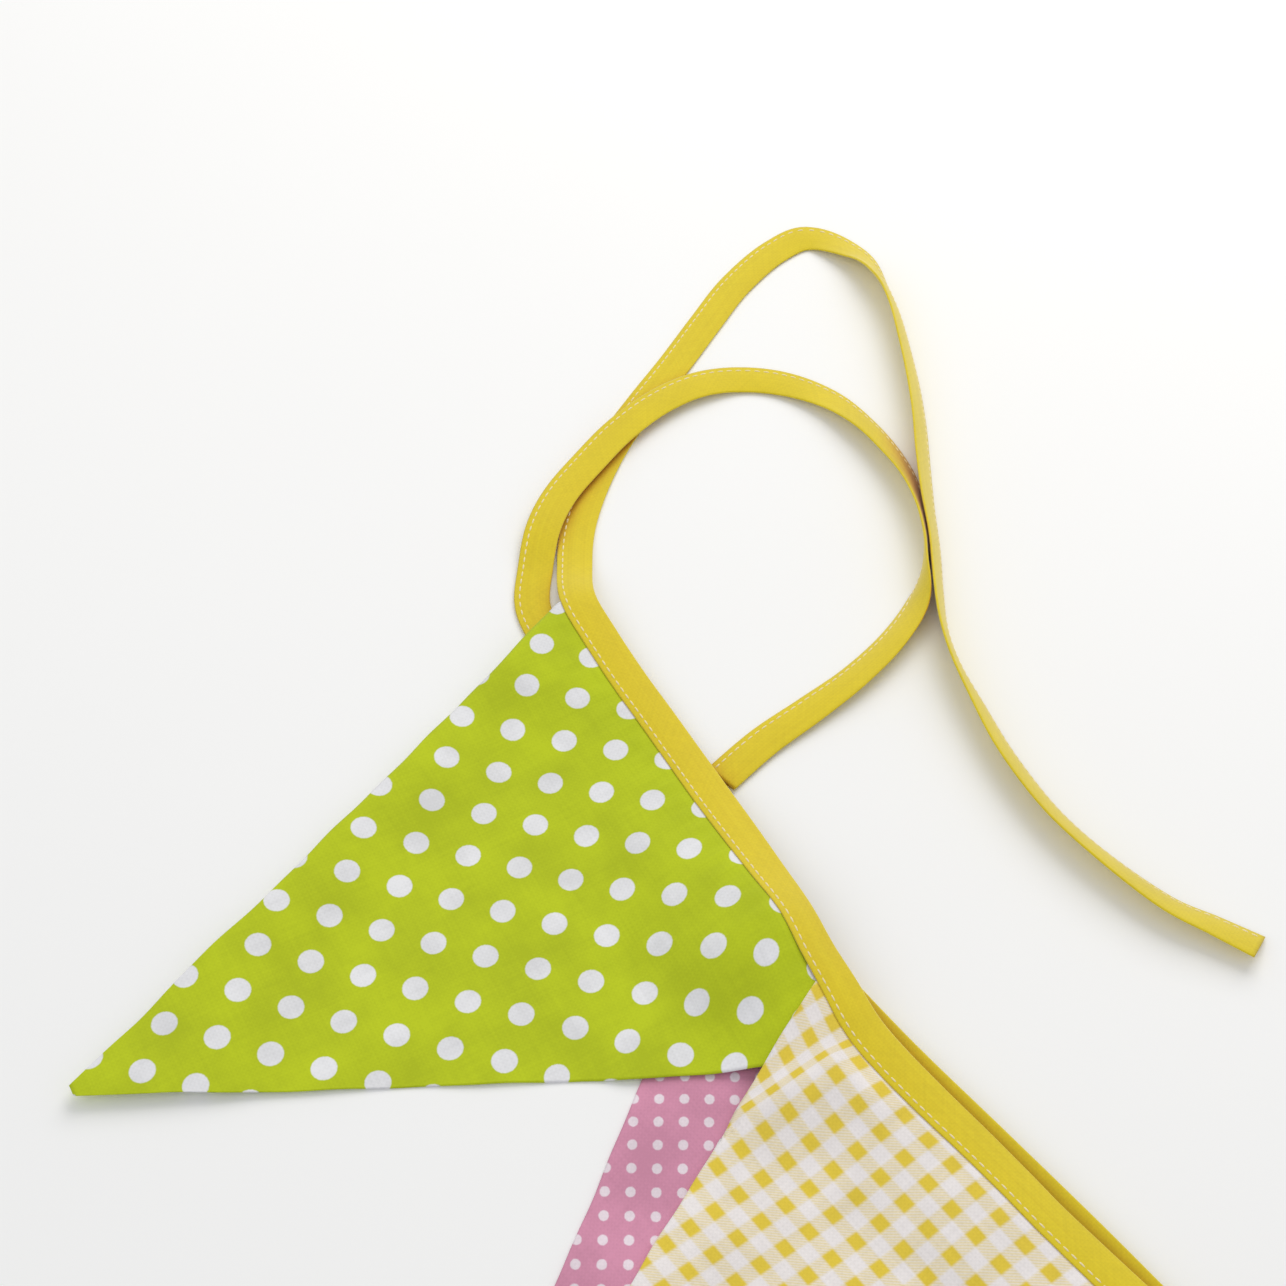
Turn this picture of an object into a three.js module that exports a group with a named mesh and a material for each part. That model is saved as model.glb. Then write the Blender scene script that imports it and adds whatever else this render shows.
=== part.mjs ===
// Fabric bunting lying loosely on a table. Three triangular pennants are caught between the two
// plies of one folded binding tape, and the tape runs on at both ends as a free tie.
// Millimetres, +Z up, the table is z = 0.
import * as THREE from 'three';

const { smoothstep, lerp, degToRad } = THREE.MathUtils;

// Thicknesses and clearances of the cloth layers
const CLOTH = 1;
const PLY = 1;
const CLEARANCE = 0.3;

// Binding tape: folded width, how far a pennant reaches into it, and the length over which
// its plies open to take a pennant in
const TAPE_WIDTH = 12.5;
const SEAM = 10;
const OPENING_RAMP = 14;

// One cutting pattern serves all three pennants
const PENNANT_WIDTH = 206;
const PENNANT_DROP = 220;
const TIP_WIDTH = 4;

// Facets: columns along a pennant's header edge, and the distances below the tape where rows lie
const COLUMNS = 22;
const ROWS_BELOW_TAPE = [0, 7, 14, 22, 31, 41, 52, 64, 78, 94, 112, 132, 154, 178, 200, 220];
const COLUMN_STEP = PENNANT_WIDTH / COLUMNS;
const TIE_STEP = 9.4;
const TURN_STATIONS = 6;
const SAMPLES_PER_ROW = 16;

// The second pennant on the header starts three columns before the first one ends
const OVERLAP_COLUMNS = 3;
const OVERLAP_RAMP = 3 * COLUMN_STEP;

// A cloth that lies on another keeps this much between middle surfaces, and the rise begins
// and ends this far outside the lower cloth's edge
const STACK_HEIGHT = 1.8;
const RISE_START = -14;
const RISE_END = -2;

// Routes of the tape's centre line over the table. The lift is the height above lying on the
// table, and the roll raises the folded edge, 0 lying flat and 90 standing on the open edge.
//   x, y, lift, roll in degrees
const TIE_OVER = [
  [197.5, -127, 0, 22],
  [184.5, -119.5, 0, 28],
  [169, -110.5, 0, 36],
  [150, -92.5, 0, 44],
  [135, -74, 0, 47],
  [122.5, -51, 0, 50],
  [114, -29, 0, 57],
  [108.1, -12, 0, 66],
  [105, 4, 0, 71],
  [104.4, 22, 0, 70],
  [104.4, 42, 0, 68],
  [103.3, 62, 0, 64],
  [102.9, 82, 0, 62],
  [102.8, 102, 0, 62],
  [101.7, 122, 0, 62],
  [99.7, 141, 0, 63],
  [97, 160, 0, 64],
  [92.5, 176, 0, 58],
  [84, 193, 0, 24],
  [67, 204.5, 0, 0],
  [52, 197, 0, 0],
  [36, 178, 0, 0],
  [24, 157, 0, 0],
  [12, 135, 0, 0],
  [0, 114.5, 0, 0],
  [-10.5, 95, 0, 0],
  [-18.5, 74, 0, 0],
  [-23.5, 53, 0, 0],
  [-24.5, 34, 1.4, 0],
  [-23, 15, 5.7, 0],
];
const HEADER_OVER = [
  [-15, -2, 5, 0],
  [-5, -20, 3.6, 0],
  [4.5, -36, 3, 0],
  [13, -51, 3, 0],
  [22, -68, 4.6, 0],
  [31, -85.5, 7, -5],
  [40, -103, 9, -14],
  [48.5, -119.5, 11, -22],
  [55, -134, 9.8, -18],
  [61, -145.5, 8.8, -10],
  [68, -159.3, 7.6, -2],
  [76, -170.8, 7, -1],
  [88, -185.6, 6.9, -4],
  [100.2, -200.1, 6.9, -8],
  [112, -214.6, 6.9, -11],
  [123, -228.2, 6.9, -11],
  [150, -258, 6, -6],
  [178, -287, 4.8, 0],
  [206, -316, 4.8, 0],
];
const HEADER_UNDER = [
  [206, -316, 0, 0],
  [183.5, -289, 0, 2],
  [158.3, -260.6, 0, 11],
  [131.9, -228.9, 0, 18],
  [105.5, -197.6, 0, 20],
  [79.4, -166.5, 0, 18],
  [55, -133.9, 0, 7],
  [30.5, -101.5, 0, 0],
];
const TIE_UNDER = [
  [18, -82, 0, 0],
  [5, -61, 0, 0],
  [-8, -40, 0, 0],
  [-21, -18.5, 0, 0],
  [-32, -1.5, 0, 0],
  [-39, 15.5, 0, 0],
  [-38.5, 33, 0.6, 0],
  [-36, 50, 3, 0],
  [-30, 66, 3.2, 0],
  [-20, 82, 3.2, 0],
  [-8.5, 98, 3.2, 0],
  [5.5, 112, 3.2, 0],
  [21, 122, 2.4, 0],
  [37.5, 126.5, 0.4, 0],
  [54, 124, 0, 4],
  [70, 115, 0, 16],
  [82.4, 101.5, 0, 31],
  [91.3, 87, 0, 39],
  [97.1, 72.5, 0, 51],
  [99.6, 57, 0, 69],
  [100, 42, 0, 82],
  [98.7, 28, 0, 97],
  [95.3, 13, 0, 130],
  [86, -2.5, 0, 150],
  [72.8, -17.5, 0, 160],
  [57.5, -30.5, 0, 170],
  [41, -44, 0, 176],
  [26, -59.5, 0, 178],
];

// Soft folds that the pennants show away from the tape, each a straight crest on the pattern.
//   along and down at one end, along and down at the other, height, reach on either side
const GREEN_FOLDS = [
  [14, 34, 66, 160, 4, 22, 22],
  [94, 196, 94, 222, 4, 40, 40],
];
const GINGHAM_FOLDS = [
  [26.5, 4, 20.5, 40, 4, 6, 16],
];

const catmullRom = (a, b, c, d, t) => {
  const linear = (c - a) / 2;
  const square = a - 2.5 * b + 2 * c - d / 2;
  const cube = (d - a) / 2 + 1.5 * (b - c);
  return b + t * (linear + t * (square + t * cube));
};

// A run is a smooth route that can be asked for its place at a length measured on the table.
// The folded edge lies to the left of the way it runs (fold side +1) or to the right (-1).
function makeRun(rows, foldSide) {
  const samples = [];
  const lengths = [0];
  const rowAt = (i) => rows[THREE.MathUtils.clamp(i, 0, rows.length - 1)];
  for (let i = 0; i < rows.length - 1; i++) {
    const lastStep = i === rows.length - 2 ? SAMPLES_PER_ROW : SAMPLES_PER_ROW - 1;
    for (let k = 0; k <= lastStep; k++) {
      const t = k / SAMPLES_PER_ROW;
      samples.push(rows[i].map((_, column) => catmullRom(
        rowAt(i - 1)[column], rowAt(i)[column], rowAt(i + 1)[column], rowAt(i + 2)[column], t)));
    }
  }
  for (let i = 1; i < samples.length; i++) {
    const [x, y] = samples[i];
    const [lastX, lastY] = samples[i - 1];
    lengths.push(lengths[i - 1] + Math.hypot(x - lastX, y - lastY));
  }
  const length = lengths.at(-1);
  const at = (s) => {
    const wanted = THREE.MathUtils.clamp(s, 0, length);
    let i = lengths.findIndex((value) => value >= wanted);
    i = Math.max(i, 1);
    const t = (wanted - lengths[i - 1]) / (lengths[i] - lengths[i - 1]);
    const [x, y, lift, roll] = samples[i].map((value, column) => lerp(samples[i - 1][column], value, t));
    return { x, y, lift: Math.max(lift, 0), roll: degToRad(roll) };
  };
  const lengthAtRow = (row) => lengths[row * SAMPLES_PER_ROW];
  return { foldSide, length, at, lengthAtRow };
}

const over = makeRun([...TIE_OVER, ...HEADER_OVER], 1);
const under = makeRun([...HEADER_UNDER, ...TIE_UNDER], -1);

// Where the pennants sit on the two runs, by the length at the corner that the run meets first
const greenStart = over.lengthAtRow(TIE_OVER.length - 1);
const ginghamStart = greenStart + (COLUMNS - OVERLAP_COLUMNS) * COLUMN_STEP;
const pinkStart = under.lengthAtRow(HEADER_UNDER.length - 1) - PENNANT_WIDTH;

// How far the plies stand open at a length of a run: 0 on a bare tie, 1 around one pennant
function openness(run, s) {
  const start = run === over ? greenStart : pinkStart;
  const end = run === over ? ginghamStart + PENNANT_WIDTH : pinkStart + PENNANT_WIDTH;
  return smoothstep(s, start - OPENING_RAMP, start) * (1 - smoothstep(s, end, end + OPENING_RAMP));
}

// Where two pennants overlap in the tape this is 1, and it fades out to either side
function doubling(run, s) {
  if (run !== over) return 0;
  const end = greenStart + PENNANT_WIDTH;
  const rise = smoothstep(s, ginghamStart - OVERLAP_RAMP, ginghamStart - CLEARANCE);
  return rise * (1 - smoothstep(s, end + CLEARANCE, end + OVERLAP_RAMP));
}

const LAYER_SHIFT = (CLOTH + CLEARANCE) / 2;
const CLOSED_HALF_GAP = CLEARANCE / 2;
const OPEN_HALF_GAP = CLOTH / 2 + CLEARANCE;

function halfGap(run, s) {
  return lerp(CLOSED_HALF_GAP, OPEN_HALF_GAP, openness(run, s)) + LAYER_SHIFT * doubling(run, s);
}

function tapeCentre(run, s) {
  const { x, y, lift, roll } = run.at(s);
  const restHeight = TAPE_WIDTH / 2 * Math.abs(Math.sin(roll))
    + (halfGap(run, s) + PLY) * Math.abs(Math.cos(roll));
  return new THREE.Vector3(x, y, lift + restHeight);
}

// Frame of the tape at a length of its run: centre, way along, way to the fold, and the normal
function tapeFrame(run, s) {
  const nudge = 1;
  const before = tapeCentre(run, Math.max(s - nudge, 0));
  const after = tapeCentre(run, Math.min(s + nudge, run.length));
  const along = after.sub(before).normalize();
  const level = new THREE.Vector3(-along.y, along.x, 0).normalize().multiplyScalar(run.foldSide);
  const upright = along.clone().cross(level).multiplyScalar(run.foldSide);
  const { roll } = run.at(s);
  const toFold = level.multiplyScalar(Math.cos(roll)).addScaledVector(upright, Math.sin(roll));
  const normal = along.clone().cross(toFold);
  return { centre: tapeCentre(run, s), along, toFold, normal };
}

// Hairpin section of the folded tape, as distances across from the open edge and up from the middle
function tapeSection(gap) {
  const outer = gap + PLY;
  const corner = TAPE_WIDTH - 0.6 * outer;
  const inside = TAPE_WIDTH - PLY;
  const nose = 0.4 * outer;
  return [
    [0, -outer], [corner, -outer], [TAPE_WIDTH, -nose], [TAPE_WIDTH, nose], [corner, outer],
    [0, outer], [0, gap], [inside, gap], [inside, -gap], [0, -gap],
  ].map(([across, up]) => new THREE.Vector2(across, up));
}

function placeSection(section, { centre, toFold, normal }) {
  return section.map(({ x: across, y: up }) => centre.clone()
    .addScaledVector(toFold, across - TAPE_WIDTH / 2)
    .addScaledVector(normal, up));
}

// The places along a run where a section stands: even steps, which match the pennants' columns
function stations(run, header, headerColumns) {
  const list = [];
  const evenly = (from, to, step) => {
    const count = Math.max(1, Math.round((to - from) / step));
    for (let i = 0; i < count; i++) list.push(lerp(from, to, i / count));
  };
  evenly(0, header, TIE_STEP);
  evenly(header, header + headerColumns * COLUMN_STEP, COLUMN_STEP);
  evenly(header + headerColumns * COLUMN_STEP, run.length, TIE_STEP);
  return [...list, run.length];
}

// Where the tape folds back under itself, it turns about its own width in a half circle
function turnFrames(start, end) {
  const radius = (start.centre.z - end.centre.z) / 2;
  const middle = start.centre.clone().lerp(end.centre, 0.5);
  const frames = [];
  for (let i = 1; i < TURN_STATIONS; i++) {
    const angle = Math.PI * i / TURN_STATIONS;
    const up = new THREE.Vector3(0, 0, 1);
    const along = start.along.clone().multiplyScalar(Math.cos(angle)).addScaledVector(up, -Math.sin(angle));
    const centre = middle.clone()
      .addScaledVector(start.along, radius * Math.sin(angle))
      .addScaledVector(up, radius * Math.cos(angle));
    frames.push({ centre, toFold: start.toFold, normal: along.cross(start.toFold) });
  }
  return frames;
}

// Closed solid through a list of rings with the same number of points, anticlockwise from ahead.
// Each facet is split from its fold side to its open side, as the pennants' facets are.
function loftGeometry(rings, section) {
  const size = section.length;
  const last = (rings.length - 1) * size;
  const index = [];
  for (let ring = 0; ring < last; ring += size) {
    for (let k = 0; k < size; k++) {
      const next = (k + 1) % size;
      const [a, b, c, d] = [ring + k, ring + next, ring + size + next, ring + size + k];
      if (section[next].x > section[k].x) index.push(a, b, d, b, c, d);
      else index.push(a, b, c, a, c, d);
    }
  }
  for (const [a, b, c] of THREE.ShapeUtils.triangulateShape(section, [])) {
    index.push(a, c, b, last + a, last + b, last + c);
  }
  return indexedGeometry(rings.flat(), index);
}

function indexedGeometry(points, index) {
  const geometry = new THREE.BufferGeometry().setFromPoints(points);
  geometry.setIndex(index);
  geometry.computeVertexNormals();
  return geometry;
}

function bindingGeometry() {
  const sectionAt = (run, s) => placeSection(tapeSection(halfGap(run, s)), tapeFrame(run, s));
  const overStations = stations(over, greenStart, 2 * COLUMNS - OVERLAP_COLUMNS);
  const underStations = stations(under, pinkStart, COLUMNS);
  const closed = tapeSection(CLOSED_HALF_GAP);
  const turn = turnFrames(tapeFrame(over, over.length), tapeFrame(under, 0));
  const rings = [
    ...overStations.map((s) => sectionAt(over, s)),
    ...turn.map((frame) => placeSection(closed, frame)),
    ...underStations.map((s) => sectionAt(under, s)),
  ];
  return loftGeometry(rings, closed);
}

// The pattern's two slanting sides at a distance below the tape, measured along the header
function patternSides(pennant, down) {
  const share = Math.max(down, 0) / PENNANT_DROP;
  const left = lerp(0, pennant.apex - TIP_WIDTH / 2, share);
  const right = lerp(PENNANT_WIDTH, pennant.apex + TIP_WIDTH / 2, share);
  return { left, right };
}

function runLength(pennant, along) {
  return pennant.start + (pennant.reversed ? PENNANT_WIDTH - along : along);
}

// A point of a pennant between the tape's plies, at a distance in from the tape's open edge
function tapePoint(pennant, along, inward) {
  const { run, layer } = pennant;
  const s = runLength(pennant, along);
  const { centre, toFold, normal } = tapeFrame(run, s);
  return centre
    .addScaledVector(toFold, inward - TAPE_WIDTH / 2)
    .addScaledVector(normal, run.foldSide * layer * LAYER_SHIFT * doubling(run, s));
}

// Plan position of a point of the pattern: straight down from the tape's open edge in the
// pennant's own direction, or up between the plies towards the fold
function planPoint(pennant, along, down) {
  if (down < 0) return tapePoint(pennant, along, -down);
  const [downX, downY] = pennant.down;
  return tapePoint(pennant, along, 0).add(new THREE.Vector3(down * downX, down * downY, 0));
}

// The pattern position that lies over a point of the table, found by walking towards it
function locate(pennant, point) {
  const [downX, downY] = pennant.down;
  const rounds = 8;
  let along = PENNANT_WIDTH / 2;
  let down = 0;
  for (let i = 0; i < rounds; i++) {
    const edge = planPoint(pennant, along, 0);
    const [dx, dy] = [point.x - edge.x, point.y - edge.y];
    const { along: way } = tapeFrame(pennant.run, runLength(pennant, along));
    const [wayX, wayY] = pennant.reversed ? [-way.x, -way.y] : [way.x, way.y];
    const area = wayX * downY - wayY * downX;
    along += (dx * downY - dy * downX) / area;
    down = (wayX * dy - wayY * dx) / area;
  }
  return { along, down };
}

// How far a pattern position lies inside the pennant's outline, negative outside it
function insideDistance(pennant, along, down) {
  const { left, right } = patternSides(pennant, down);
  const slant = PENNANT_DROP / Math.hypot(PENNANT_DROP, PENNANT_WIDTH / 2);
  return Math.min((along - left) * slant, (right - along) * slant, PENNANT_DROP - down);
}

function foldHeight(folds, along, down) {
  let height = 0;
  for (const [fromAlong, fromDown, toAlong, toDown, crest, reachBefore, reachAfter] of folds) {
    const crestLine = new THREE.Line3(
      new THREE.Vector3(fromAlong, fromDown, 0), new THREE.Vector3(toAlong, toDown, 0));
    const point = new THREE.Vector3(along, down, 0);
    const nearest = crestLine.closestPointToPoint(point, true, new THREE.Vector3());
    const reach = along < nearest.x ? reachBefore : reachAfter;
    const share = point.distanceTo(nearest) / reach;
    height += crest * Math.exp(-share * share);
  }
  return height * smoothstep(down, 0, 10);
}

// The higher of two heights, with a rounded change-over
function softMax(a, b, rounding) {
  return (a + b + Math.hypot(a - b, rounding)) / 2;
}

// Height of a pennant's middle surface: held by the tape at its header, easing down to whatever
// lies beneath, with its own folds on top
function clothHeight(pennant, along, down) {
  const held = tapePoint(pennant, along, Math.max(-down, 0)).z;
  if (down <= 0) return held;
  const place = planPoint(pennant, along, down);
  const table = CLOTH / 2;
  const hold = down < pennant.reach ? (1 + Math.cos(Math.PI * down / pennant.reach)) / 2 : 0;
  let height = lerp(table, held, hold) + foldHeight(pennant.folds, along, down);
  for (const lower of pennant.liesOn) {
    const spot = locate(lower, place);
    const weight = smoothstep(insideDistance(lower, spot.along, spot.down), RISE_START, RISE_END);
    if (weight === 0) continue;
    const eased = smoothstep(down, 0, 12);
    const floor = clothHeight(lower, spot.along, spot.down)
      + lerp(CLOTH + CLEARANCE, STACK_HEIGHT, eased);
    const rounding = 1.2 * eased;
    height = lerp(height, softMax(height, floor, rounding), weight);
  }
  return height;
}

// A pennant as a closed sheet over its pattern, with a little of it caught inside the tape. Its
// facets are split the way the tape's are, from fold to open side as the run goes on.
function pennantGeometry(pennant) {
  const rows = [-SEAM, ...ROWS_BELOW_TAPE];
  const points = [];
  for (const down of rows) {
    const { left, right } = patternSides(pennant, down);
    for (let column = 0; column <= COLUMNS; column++) {
      const along = lerp(left, right, column / COLUMNS);
      const middle = planPoint(pennant, along, down).setZ(clothHeight(pennant, along, down));
      points.push(middle.clone().setZ(middle.z + CLOTH / 2), middle.clone().setZ(middle.z - CLOTH / 2));
    }
  }
  const top = (row, column) => 2 * (row * (COLUMNS + 1) + column);
  const index = [];
  const lastRow = rows.length - 1;
  for (let row = 0; row < lastRow; row++) {
    for (let column = 0; column < COLUMNS; column++) {
      const a = top(row, column);
      const b = top(row + 1, column);
      const c = top(row + 1, column + 1);
      const d = top(row, column + 1);
      const halves = pennant.reversed ? [[a, b, d], [b, c, d]] : [[a, b, c], [a, c, d]];
      for (const [i, j, k] of halves) index.push(i, j, k, i + 1, k + 1, j + 1);
    }
  }
  const edge = [];
  for (let row = 0; row < lastRow; row++) edge.push(top(row, 0));
  for (let column = 0; column < COLUMNS; column++) edge.push(top(lastRow, column));
  for (let row = lastRow; row > 0; row--) edge.push(top(row, COLUMNS));
  for (let column = COLUMNS; column > 0; column--) edge.push(top(0, column));
  edge.forEach((from, i) => {
    const to = edge[(i + 1) % edge.length];
    index.push(from + 1, to + 1, to, from + 1, to, from);
  });
  return indexedGeometry(points, index);
}

// The pennants, lowest first. The down direction is the way a pennant lies on the table, the
// apex is where its point falls along the header, and the reach is how soon it comes down.
const pink = {
  run: under, start: pinkStart, reversed: true, layer: 0, down: [-0.725, -0.688],
  apex: 116, reach: 24, folds: [], liesOn: [],
};
const green = {
  run: over, start: greenStart, reversed: false, layer: -1, down: [-0.875, -0.493],
  apex: 95, reach: 50, folds: GREEN_FOLDS, liesOn: [pink],
};
const gingham = {
  run: over, start: ginghamStart, reversed: false, layer: 1, down: [-0.783, -0.622],
  apex: 88, reach: 50, folds: GINGHAM_FOLDS, liesOn: [pink, green],
};

function addPiece(group, name, geometry, color, roughness) {
  const material = new THREE.MeshStandardMaterial({ color, roughness, metalness: 0 });
  const mesh = new THREE.Mesh(geometry, material);
  mesh.name = name;
  group.add(mesh);
}

const bunting = new THREE.Group();
addPiece(bunting, 'pennant_pink_dots', pennantGeometry(pink), '#c87aa5', 0.9);
addPiece(bunting, 'pennant_green_dots', pennantGeometry(green), '#b4c41c', 0.9);
addPiece(bunting, 'pennant_gingham', pennantGeometry(gingham), '#ecd58a', 0.9);
addPiece(bunting, 'binding_tape', bindingGeometry(), '#dcc832', 0.8);

// The origin is on the table, under the middle of the whole layout
const middle = new THREE.Box3().setFromObject(bunting).getCenter(new THREE.Vector3());
bunting.position.set(-middle.x, -middle.y, 0);

export default bunting;
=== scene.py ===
# %% [markdown]
# # A fabric bunting, laid loosely on a table
# Three cotton pennants hang from one folded yellow tape whose ends run on as ties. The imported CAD
# part fixes where every piece lies. This script makes the same pieces again as thin cloth, adds the
# stitching and the printed and woven patterns, and sets up a camera at the photograph's angle.

from types import SimpleNamespace

import bpy
import numpy as np
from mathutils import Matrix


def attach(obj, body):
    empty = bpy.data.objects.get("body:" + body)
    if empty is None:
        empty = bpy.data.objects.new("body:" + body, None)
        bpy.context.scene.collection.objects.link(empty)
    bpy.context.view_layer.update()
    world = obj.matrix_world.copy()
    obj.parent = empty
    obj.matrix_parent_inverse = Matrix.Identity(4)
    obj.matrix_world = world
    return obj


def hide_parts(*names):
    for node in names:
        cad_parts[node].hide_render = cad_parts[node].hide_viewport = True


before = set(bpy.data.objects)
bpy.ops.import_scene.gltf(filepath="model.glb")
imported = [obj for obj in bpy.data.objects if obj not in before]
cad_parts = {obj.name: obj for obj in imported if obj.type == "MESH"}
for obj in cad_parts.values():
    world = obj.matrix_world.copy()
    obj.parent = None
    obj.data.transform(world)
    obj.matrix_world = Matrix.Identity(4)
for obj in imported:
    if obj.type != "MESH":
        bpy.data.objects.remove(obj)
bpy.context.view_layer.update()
print("CAD nodes:", sorted(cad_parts))

# %% [markdown]
# ## The camera, the floor and the light
# The photograph looks down at the table from about 51 degrees with a long lens, so the cloth shows
# little perspective. A camera that is placed by its distance and its angle from one point on the table
# is easy to check. The light is one soft panel behind the layout, a little to the right, a weaker one
# in front on the left, and an even grey-white surround, which keeps the shadows pale.

# %% Place the camera
MM = 0.001
LAYOUT_MIDDLE = np.array([17.871, -72.686, 0.0])
CAMERA_ELEVATION = np.radians(51.5)
CAMERA_DISTANCE = 946.0
PHOTO_PIXELS = 1286
FOCAL_PIXELS = 2700
SENSOR = 36.0


def to_part(points):
    """Layout millimetres to the part's metres: take off the middle of the layout, then scale."""
    return (np.asarray(points, float) - LAYOUT_MIDDLE) * MM


scene = bpy.context.scene
camera = bpy.data.objects.new("camera", bpy.data.cameras.new("camera"))
scene.collection.objects.link(camera)
camera.location = to_part(
    [0, -CAMERA_DISTANCE * np.cos(CAMERA_ELEVATION), CAMERA_DISTANCE * np.sin(CAMERA_ELEVATION)]
)
camera.rotation_euler = (np.pi / 2 - CAMERA_ELEVATION, 0, 0)
camera.data.sensor_width = SENSOR
camera.data.lens = SENSOR * FOCAL_PIXELS / PHOTO_PIXELS
scene.camera = camera
print("lens:", round(camera.data.lens, 1), "mm, camera at", [round(c, 3) for c in camera.location])

# %% Lay the floor and hang the lights
FLOOR_SIZE = 6.0
SURROUND_STRENGTH = 0.6


def srgb(code):
    """A hex colour as linear RGBA: each channel undoes the sRGB curve."""
    channels = np.array([int(code[i : i + 2], 16) for i in (1, 3, 5)]) / 255
    linear = np.where(channels <= 0.04045, channels / 12.92, ((channels + 0.055) / 1.055) ** 2.4)
    return (*linear.tolist(), 1.0)


def add_panel(name, place, size, power, colour):
    """A square area light of that size at a place, turned towards the origin."""
    light = bpy.data.objects.new(name, bpy.data.lights.new(name, "AREA"))
    light.data.size = size
    light.data.energy = power
    light.data.color = srgb(colour)[:3]
    light.location = place
    light.rotation_euler = (-light.location).to_track_quat("-Z", "Y").to_euler()
    scene.collection.objects.link(light)


half = FLOOR_SIZE / 2
floor_mesh = bpy.data.meshes.new("floor")
floor_mesh.from_pydata(
    [(-half, -half, 0), (half, -half, 0), (half, half, 0), (-half, half, 0)], [], [(0, 1, 2, 3)]
)
floor = bpy.data.objects.new("floor", floor_mesh)
scene.collection.objects.link(floor)
add_panel("panel_behind_right", place=(0.42, 1.05, 1.05), size=1.2, power=13, colour="#FFFCF6")
add_panel("panel_front_left", place=(-1.6, -1.6, 2.2), size=2.4, power=16, colour="#F6F8FF")
world = bpy.data.worlds.new("surround")
world.use_nodes = True
surround = world.node_tree.nodes["Background"]
surround.inputs["Color"].default_value = srgb("#F3F4F6")
surround.inputs["Strength"].default_value = SURROUND_STRENGTH
scene.world = world
scene.view_settings.view_transform = "Standard"
print("floor", FLOOR_SIZE, "m wide, lights:", len(bpy.data.lights))

# %% [markdown]
# ## The route of the tape
# The tape starts at the free end of one tie, loops round, takes in the green and then the gingham
# pennant, folds back under itself, takes in the pink pennant and runs out as the second tie. A bezier
# curve with a bevel could carry it, but a flat tape that lies down, stands on edge and twists needs its
# roll at every point. So the route is a table of places with a lift above the table and a roll, a
# smooth curve is run through the rows, and the tape's section is carried along it. The small ring lies
# about a millimetre nearer to the standing tie than in the CAD part, whose cloth is thicker.

# %% Route tables, in millimetres and degrees: x, y, lift, roll
TIE_OVER = [
    (197.5, -127, 0, 22), (184.5, -119.5, 0, 28), (169, -110.5, 0, 36), (150, -92.5, 0, 44),
    (135, -74, 0, 47), (122.5, -51, 0, 50), (114, -29, 0, 57), (108.1, -12, 0, 66),
    (105, 4, 0, 71), (104.4, 22, 0, 70), (104.4, 42, 0, 68), (103.3, 62, 0, 64),
    (102.9, 82, 0, 62), (102.8, 102, 0, 62), (101.7, 122, 0, 62), (99.7, 141, 0, 63),
    (97, 160, 0, 64), (92.5, 176, 0, 58), (84, 193, 0, 24), (67, 204.5, 0, 0), (52, 197, 0, 0),
    (36, 178, 0, 0), (24, 157, 0, 0), (12, 135, 0, 0), (0, 114.5, 0, 0), (-10.5, 95, 0, 0),
    (-18.5, 74, 0, 0), (-23.5, 53, 0, 0), (-24.5, 34, 1.4, 0), (-23, 15, 5.7, 0),
]
HEADER_OVER = [
    (-15, -2, 5, 0), (-5, -20, 3.6, 0), (4.5, -36, 3, 0), (13, -51, 3, 0), (22, -68, 4.6, 0),
    (31, -85.5, 7, -5), (40, -103, 9, -14), (48.5, -119.5, 11, -22), (55, -134, 9.8, -18),
    (61, -145.5, 8.8, -10), (68, -159.3, 7.6, -2), (76, -170.8, 7, -1), (88, -185.6, 6.9, -4),
    (100.2, -200.1, 6.9, -8), (112, -214.6, 6.9, -11), (123, -228.2, 6.9, -11),
    (150, -258, 6, -6), (178, -287, 4.8, 0), (206, -316, 4.8, 0),
]
HEADER_UNDER = [
    (206, -316, 0, 0), (183.5, -289, 0, 2), (158.3, -260.6, 0, 11), (131.9, -228.9, 0, 18),
    (105.5, -197.6, 0, 20), (79.4, -166.5, 0, 18), (55, -133.9, 0, 7), (30.5, -101.5, 0, 0),
]
TIE_UNDER = [
    (18, -82, 0, 0), (5, -61, 0, 0), (-8, -40, 0, 0), (-21, -18.5, 0, 0), (-32, -1.5, 0, 0),
    (-39, 15.5, 0, 0), (-38.5, 33, 0.6, 0), (-36, 50, 3, 0), (-30, 66, 3.2, 0),
    (-20, 82, 3.2, 0), (-8.5, 98, 3.2, 0), (5.5, 112, 3.2, 0), (21, 122, 2.4, 0),
    (37.5, 126.5, 0.4, 0), (54, 124, 0, 4), (70, 115, 0, 16), (82.4, 101.5, 0, 31),
    (91.4, 87, 0, 39), (97.5, 72.5, 0, 51), (100.6, 57, 0, 66), (101.5, 42, 0, 78),
    (99.7, 28, 0, 98), (96, 13, 0, 138), (86.4, -2.5, 0, 152), (72.8, -17.5, 0, 160),
    (57.5, -30.5, 0, 170), (41, -44, 0, 176), (26, -59.5, 0, 178),
]
print("route rows:", len(TIE_OVER + HEADER_OVER), "on the upper run,", len(HEADER_UNDER + TIE_UNDER), "below")

# %% Smooth runs through the tables
SAMPLES_PER_ROW = 16


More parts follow.
